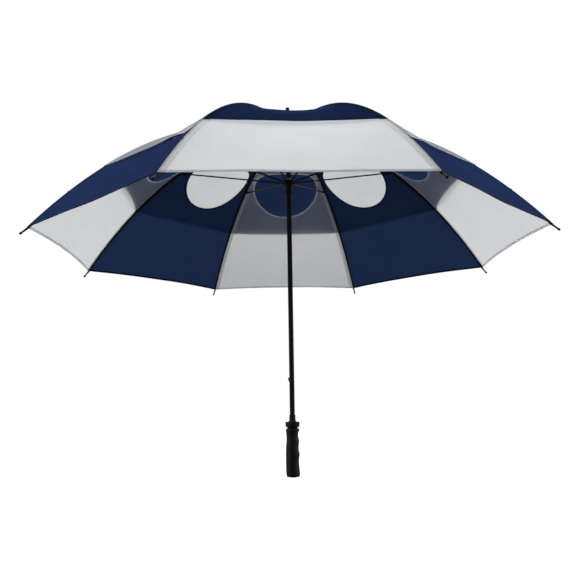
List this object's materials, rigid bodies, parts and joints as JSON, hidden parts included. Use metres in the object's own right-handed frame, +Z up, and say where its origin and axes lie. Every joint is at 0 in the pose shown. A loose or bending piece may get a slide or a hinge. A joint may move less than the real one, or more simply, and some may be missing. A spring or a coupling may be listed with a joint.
{
  "type": "golf umbrella",
  "caption": "Large straight-shaft golf umbrella with a vented double canopy of contrasting panels, hinged ribs on a sliding runner, and a contoured rubber grip.",
  "frame": {"origin": "middle of the handle's lower end, on the shaft's centreline", "axes": "+Z up along the shaft towards the ferrule; +X towards the grip's finger grooves; -Y towards the middle of a white lower panel; the canopy is open at rest"},
  "size_m": [1.2404, 1.2404, 0.9975],
  "materials": {
    "shaft_tube": "satin black paint over a steel tube",
    "ferrule": "moulded, matt",
    "crown_notch": "moulded, matt",
    "crown_ring": "bright steel wire",
    "crown_cap": "moulded, matt",
    "runner": "moulded, matt",
    "runner_stop": "bright pressed steel",
    "top_catch": "bright pressed steel",
    "bottom_catch": "bright pressed steel",
    "handle_collar": "soft-touch moulded",
    "handle_grip": "soft-touch moulded, with finger grooves",
    "handle_end_cap": "soft-touch moulded",
    "rib_inner_1": "black fibreglass rod",
    "rib_outer_1": "black fibreglass rod",
    "stretcher_1": "black painted steel",
    "rib_tip_1": "black painted, rounded",
    "canopy_panel_1": "plain-woven water-repellent cloth",
    "vent_panel_1": "plain-woven water-repellent cloth",
    "rib_inner_2": "black fibreglass rod",
    "rib_outer_2": "black fibreglass rod",
    "stretcher_2": "black painted steel",
    "rib_tip_2": "black painted, rounded",
    "canopy_panel_2": "plain-woven water-repellent cloth",
    "vent_panel_2": "plain-woven water-repellent cloth",
    "rib_inner_3": "black fibreglass rod",
    "rib_outer_3": "black fibreglass rod",
    "stretcher_3": "black painted steel",
    "rib_tip_3": "black painted, rounded",
    "canopy_panel_3": "plain-woven water-repellent cloth",
    "vent_panel_3": "plain-woven water-repellent cloth",
    "rib_inner_4": "black fibreglass rod",
    "rib_outer_4": "black fibreglass rod",
    "stretcher_4": "black painted steel",
    "rib_tip_4": "black painted, rounded",
    "canopy_panel_4": "plain-woven water-repellent cloth",
    "vent_panel_4": "plain-woven water-repellent cloth",
    "rib_inner_5": "black fibreglass rod",
    "rib_outer_5": "black fibreglass rod",
    "stretcher_5": "black painted steel",
    "rib_tip_5": "black painted, rounded",
    "canopy_panel_5": "plain-woven water-repellent cloth",
    "vent_panel_5": "plain-woven water-repellent cloth",
    "rib_inner_6": "black fibreglass rod",
    "rib_outer_6": "black fibreglass rod",
    "stretcher_6": "black painted steel",
    "rib_tip_6": "black painted, rounded",
    "canopy_panel_6": "plain-woven water-repellent cloth",
    "vent_panel_6": "plain-woven water-repellent cloth",
    "rib_inner_7": "black fibreglass rod",
    "rib_outer_7": "black fibreglass rod",
    "stretcher_7": "black painted steel",
    "rib_tip_7": "black painted, rounded",
    "canopy_panel_7": "plain-woven water-repellent cloth",
    "vent_panel_7": "plain-woven water-repellent cloth",
    "rib_inner_8": "black fibreglass rod",
    "rib_outer_8": "black fibreglass rod",
    "stretcher_8": "black painted steel",
    "rib_tip_8": "black painted, rounded",
    "canopy_panel_8": "plain-woven water-repellent cloth",
    "vent_panel_8": "plain-woven water-repellent cloth"
  },
  "bodies": {
    "root": {"shaft_tube": "shaft_tube", "ferrule": "ferrule", "crown_notch": "crown_notch", "crown_ring": "crown_ring", "crown_cap": "crown_cap", "runner_stop": "runner_stop", "handle_collar": "handle_collar", "handle_grip": "handle_grip", "handle_end_cap": "handle_end_cap"},
    "runner": {"runner": "runner"},
    "top_catch": {"top_catch": "top_catch"},
    "bottom_catch": {"bottom_catch": "bottom_catch"},
    "rib_inner_1": {"rib_inner_1": "rib_inner_1", "vent_panel_1": "vent_panel_1"},
    "rib_outer_1": {"rib_outer_1": "rib_outer_1", "rib_tip_1": "rib_tip_1", "canopy_panel_1": "canopy_panel_1"},
    "stretcher_1": {"stretcher_1": "stretcher_1"},
    "rib_inner_2": {"rib_inner_2": "rib_inner_2", "vent_panel_2": "vent_panel_2"},
    "rib_outer_2": {"rib_outer_2": "rib_outer_2", "rib_tip_2": "rib_tip_2", "canopy_panel_2": "canopy_panel_2"},
    "stretcher_2": {"stretcher_2": "stretcher_2"},
    "rib_inner_3": {"rib_inner_3": "rib_inner_3", "vent_panel_3": "vent_panel_3"},
    "rib_outer_3": {"rib_outer_3": "rib_outer_3", "rib_tip_3": "rib_tip_3", "canopy_panel_3": "canopy_panel_3"},
    "stretcher_3": {"stretcher_3": "stretcher_3"},
    "rib_inner_4": {"rib_inner_4": "rib_inner_4", "vent_panel_4": "vent_panel_4"},
    "rib_outer_4": {"rib_outer_4": "rib_outer_4", "rib_tip_4": "rib_tip_4", "canopy_panel_4": "canopy_panel_4"},
    "stretcher_4": {"stretcher_4": "stretcher_4"},
    "rib_inner_5": {"rib_inner_5": "rib_inner_5", "vent_panel_5": "vent_panel_5"},
    "rib_outer_5": {"rib_outer_5": "rib_outer_5", "rib_tip_5": "rib_tip_5", "canopy_panel_5": "canopy_panel_5"},
    "stretcher_5": {"stretcher_5": "stretcher_5"},
    "rib_inner_6": {"rib_inner_6": "rib_inner_6", "vent_panel_6": "vent_panel_6"},
    "rib_outer_6": {"rib_outer_6": "rib_outer_6", "rib_tip_6": "rib_tip_6", "canopy_panel_6": "canopy_panel_6"},
    "stretcher_6": {"stretcher_6": "stretcher_6"},
    "rib_inner_7": {"rib_inner_7": "rib_inner_7", "vent_panel_7": "vent_panel_7"},
    "rib_outer_7": {"rib_outer_7": "rib_outer_7", "rib_tip_7": "rib_tip_7", "canopy_panel_7": "canopy_panel_7"},
    "stretcher_7": {"stretcher_7": "stretcher_7"},
    "rib_inner_8": {"rib_inner_8": "rib_inner_8", "vent_panel_8": "vent_panel_8"},
    "rib_outer_8": {"rib_outer_8": "rib_outer_8", "rib_tip_8": "rib_tip_8", "canopy_panel_8": "canopy_panel_8"},
    "stretcher_8": {"stretcher_8": "stretcher_8"}
  },
  "joints": [
    {"name": "runner_slide", "type": "slide", "parent": "root", "child": "runner", "axis": [0, 0, -1], "range_m": [0, 0.5147], "deforming": ["canopy_panel_1", "vent_panel_1", "canopy_panel_2", "vent_panel_2", "canopy_panel_3", "vent_panel_3", "canopy_panel_4", "vent_panel_4", "canopy_panel_5", "vent_panel_5", "canopy_panel_6", "vent_panel_6", "canopy_panel_7", "vent_panel_7", "canopy_panel_8", "vent_panel_8"]},
    {"name": "rib_hinge_1", "type": "hinge", "parent": "root", "child": "rib_inner_1", "pos_m": [0.01201, 0.00498, 0.92606], "axis": [-0.3827, 0.9239, 0], "range_deg": [0, 75.3]},
    {"name": "rib_knee_1", "type": "hinge", "parent": "rib_inner_1", "child": "rib_outer_1", "pos_m": [0.31047, 0.1286, 0.85222], "axis": [-0.3827, 0.9239, 0], "range_deg": [-25.6, 0]},
    {"name": "stretcher_hinge_1", "type": "hinge", "parent": "rib_inner_1", "child": "stretcher_1", "pos_m": [0.31047, 0.1286, 0.85222], "axis": [-0.3827, 0.9239, 0], "range_deg": [-150.5, 0]},
    {"name": "rib_hinge_2", "type": "hinge", "parent": "root", "child": "rib_inner_2", "pos_m": [0.00498, 0.01201, 0.92606], "axis": [-0.9239, 0.3827, 0], "range_deg": [0, 75.3]},
    {"name": "rib_knee_2", "type": "hinge", "parent": "rib_inner_2", "child": "rib_outer_2", "pos_m": [0.1286, 0.31047, 0.85222], "axis": [-0.9239, 0.3827, 0], "range_deg": [-25.6, 0]},
    {"name": "stretcher_hinge_2", "type": "hinge", "parent": "rib_inner_2", "child": "stretcher_2", "pos_m": [0.1286, 0.31047, 0.85222], "axis": [-0.9239, 0.3827, 0], "range_deg": [-150.5, 0]},
    {"name": "rib_hinge_3", "type": "hinge", "parent": "root", "child": "rib_inner_3", "pos_m": [-0.00498, 0.01201, 0.92606], "axis": [-0.9239, -0.3827, 0], "range_deg": [0, 75.3]},
    {"name": "rib_knee_3", "type": "hinge", "parent": "rib_inner_3", "child": "rib_outer_3", "pos_m": [-0.1286, 0.31047, 0.85222], "axis": [-0.9239, -0.3827, 0], "range_deg": [-25.6, 0]},
    {"name": "stretcher_hinge_3", "type": "hinge", "parent": "rib_inner_3", "child": "stretcher_3", "pos_m": [-0.1286, 0.31047, 0.85222], "axis": [-0.9239, -0.3827, 0], "range_deg": [-150.5, 0]},
    {"name": "rib_hinge_4", "type": "hinge", "parent": "root", "child": "rib_inner_4", "pos_m": [-0.01201, 0.00498, 0.92606], "axis": [-0.3827, -0.9239, 0], "range_deg": [0, 75.3]},
    {"name": "rib_knee_4", "type": "hinge", "parent": "rib_inner_4", "child": "rib_outer_4", "pos_m": [-0.31047, 0.1286, 0.85222], "axis": [-0.3827, -0.9239, 0], "range_deg": [-25.6, 0]},
    {"name": "stretcher_hinge_4", "type": "hinge", "parent": "rib_inner_4", "child": "stretcher_4", "pos_m": [-0.31047, 0.1286, 0.85222], "axis": [-0.3827, -0.9239, 0], "range_deg": [-150.5, 0]},
    {"name": "rib_hinge_5", "type": "hinge", "parent": "root", "child": "rib_inner_5", "pos_m": [-0.01201, -0.00498, 0.92606], "axis": [0.3827, -0.9239, 0], "range_deg": [0, 75.3]},
    {"name": "rib_knee_5", "type": "hinge", "parent": "rib_inner_5", "child": "rib_outer_5", "pos_m": [-0.31047, -0.1286, 0.85222], "axis": [0.3827, -0.9239, 0], "range_deg": [-25.6, 0]},
    {"name": "stretcher_hinge_5", "type": "hinge", "parent": "rib_inner_5", "child": "stretcher_5", "pos_m": [-0.31047, -0.1286, 0.85222], "axis": [0.3827, -0.9239, 0], "range_deg": [-150.5, 0]},
    {"name": "rib_hinge_6", "type": "hinge", "parent": "root", "child": "rib_inner_6", "pos_m": [-0.00498, -0.01201, 0.92606], "axis": [0.9239, -0.3827, 0], "range_deg": [0, 75.3]},
    {"name": "rib_knee_6", "type": "hinge", "parent": "rib_inner_6", "child": "rib_outer_6", "pos_m": [-0.1286, -0.31047, 0.85222], "axis": [0.9239, -0.3827, 0], "range_deg": [-25.6, 0]},
    {"name": "stretcher_hinge_6", "type": "hinge", "parent": "rib_inner_6", "child": "stretcher_6", "pos_m": [-0.1286, -0.31047, 0.85222], "axis": [0.9239, -0.3827, 0], "range_deg": [-150.5, 0]},
    {"name": "rib_hinge_7", "type": "hinge", "parent": "root", "child": "rib_inner_7", "pos_m": [0.00498, -0.01201, 0.92606], "axis": [0.9239, 0.3827, 0], "range_deg": [0, 75.3]},
    {"name": "rib_knee_7", "type": "hinge", "parent": "rib_inner_7", "child": "rib_outer_7", "pos_m": [0.1286, -0.31047, 0.85222], "axis": [0.9239, 0.3827, 0], "range_deg": [-25.6, 0]},
    {"name": "stretcher_hinge_7", "type": "hinge", "parent": "rib_inner_7", "child": "stretcher_7", "pos_m": [0.1286, -0.31047, 0.85222], "axis": [0.9239, 0.3827, 0], "range_deg": [-150.5, 0]},
    {"name": "rib_hinge_8", "type": "hinge", "parent": "root", "child": "rib_inner_8", "pos_m": [0.01201, -0.00498, 0.92606], "axis": [0.3827, 0.9239, 0], "range_deg": [0, 75.3]},
    {"name": "rib_knee_8", "type": "hinge", "parent": "rib_inner_8", "child": "rib_outer_8", "pos_m": [0.31047, -0.1286, 0.85222], "axis": [0.3827, 0.9239, 0], "range_deg": [-25.6, 0]},
    {"name": "stretcher_hinge_8", "type": "hinge", "parent": "rib_inner_8", "child": "stretcher_8", "pos_m": [0.31047, -0.1286, 0.85222], "axis": [0.3827, 0.9239, 0], "range_deg": [-150.5, 0]},
    {"name": "top_catch_press", "type": "hinge", "parent": "root", "child": "top_catch", "pos_m": [-0.0022, 0, 0.72588], "axis": [0, 1, 0], "range_deg": [0, 6], "stiffness_Nm_per_rad": 0.3, "springref_deg": -1.72},
    {"name": "bottom_catch_press", "type": "hinge", "parent": "root", "child": "bottom_catch", "pos_m": [-0.0022, 0, 0.20956], "axis": [0, 1, 0], "range_deg": [0, 6], "stiffness_Nm_per_rad": 0.3, "springref_deg": -1.72}
  ],
  "couplings": [
    {"joint": "rib_hinge_1", "follows": "runner_slide", "rad_per_m": 2.5507},
    {"joint": "rib_knee_1", "follows": "runner_slide", "rad_per_m": -0.86377},
    {"joint": "stretcher_hinge_1", "follows": "runner_slide", "rad_per_m": -5.1013},
    {"joint": "rib_hinge_2", "follows": "runner_slide", "rad_per_m": 2.5507},
    {"joint": "rib_knee_2", "follows": "runner_slide", "rad_per_m": -0.86377},
    {"joint": "stretcher_hinge_2", "follows": "runner_slide", "rad_per_m": -5.1013},
    {"joint": "rib_hinge_3", "follows": "runner_slide", "rad_per_m": 2.5507},
    {"joint": "rib_knee_3", "follows": "runner_slide", "rad_per_m": -0.86377},
    {"joint": "stretcher_hinge_3", "follows": "runner_slide", "rad_per_m": -5.1013},
    {"joint": "rib_hinge_4", "follows": "runner_slide", "rad_per_m": 2.5507},
    {"joint": "rib_knee_4", "follows": "runner_slide", "rad_per_m": -0.86377},
    {"joint": "stretcher_hinge_4", "follows": "runner_slide", "rad_per_m": -5.1013},
    {"joint": "rib_hinge_5", "follows": "runner_slide", "rad_per_m": 2.5507},
    {"joint": "rib_knee_5", "follows": "runner_slide", "rad_per_m": -0.86377},
    {"joint": "stretcher_hinge_5", "follows": "runner_slide", "rad_per_m": -5.1013},
    {"joint": "rib_hinge_6", "follows": "runner_slide", "rad_per_m": 2.5507},
    {"joint": "rib_knee_6", "follows": "runner_slide", "rad_per_m": -0.86377},
    {"joint": "stretcher_hinge_6", "follows": "runner_slide", "rad_per_m": -5.1013},
    {"joint": "rib_hinge_7", "follows": "runner_slide", "rad_per_m": 2.5507},
    {"joint": "rib_knee_7", "follows": "runner_slide", "rad_per_m": -0.86377},
    {"joint": "stretcher_hinge_7", "follows": "runner_slide", "rad_per_m": -5.1013},
    {"joint": "rib_hinge_8", "follows": "runner_slide", "rad_per_m": 2.5507},
    {"joint": "rib_knee_8", "follows": "runner_slide", "rad_per_m": -0.86377},
    {"joint": "stretcher_hinge_8", "follows": "runner_slide", "rad_per_m": -5.1013}
  ]
}
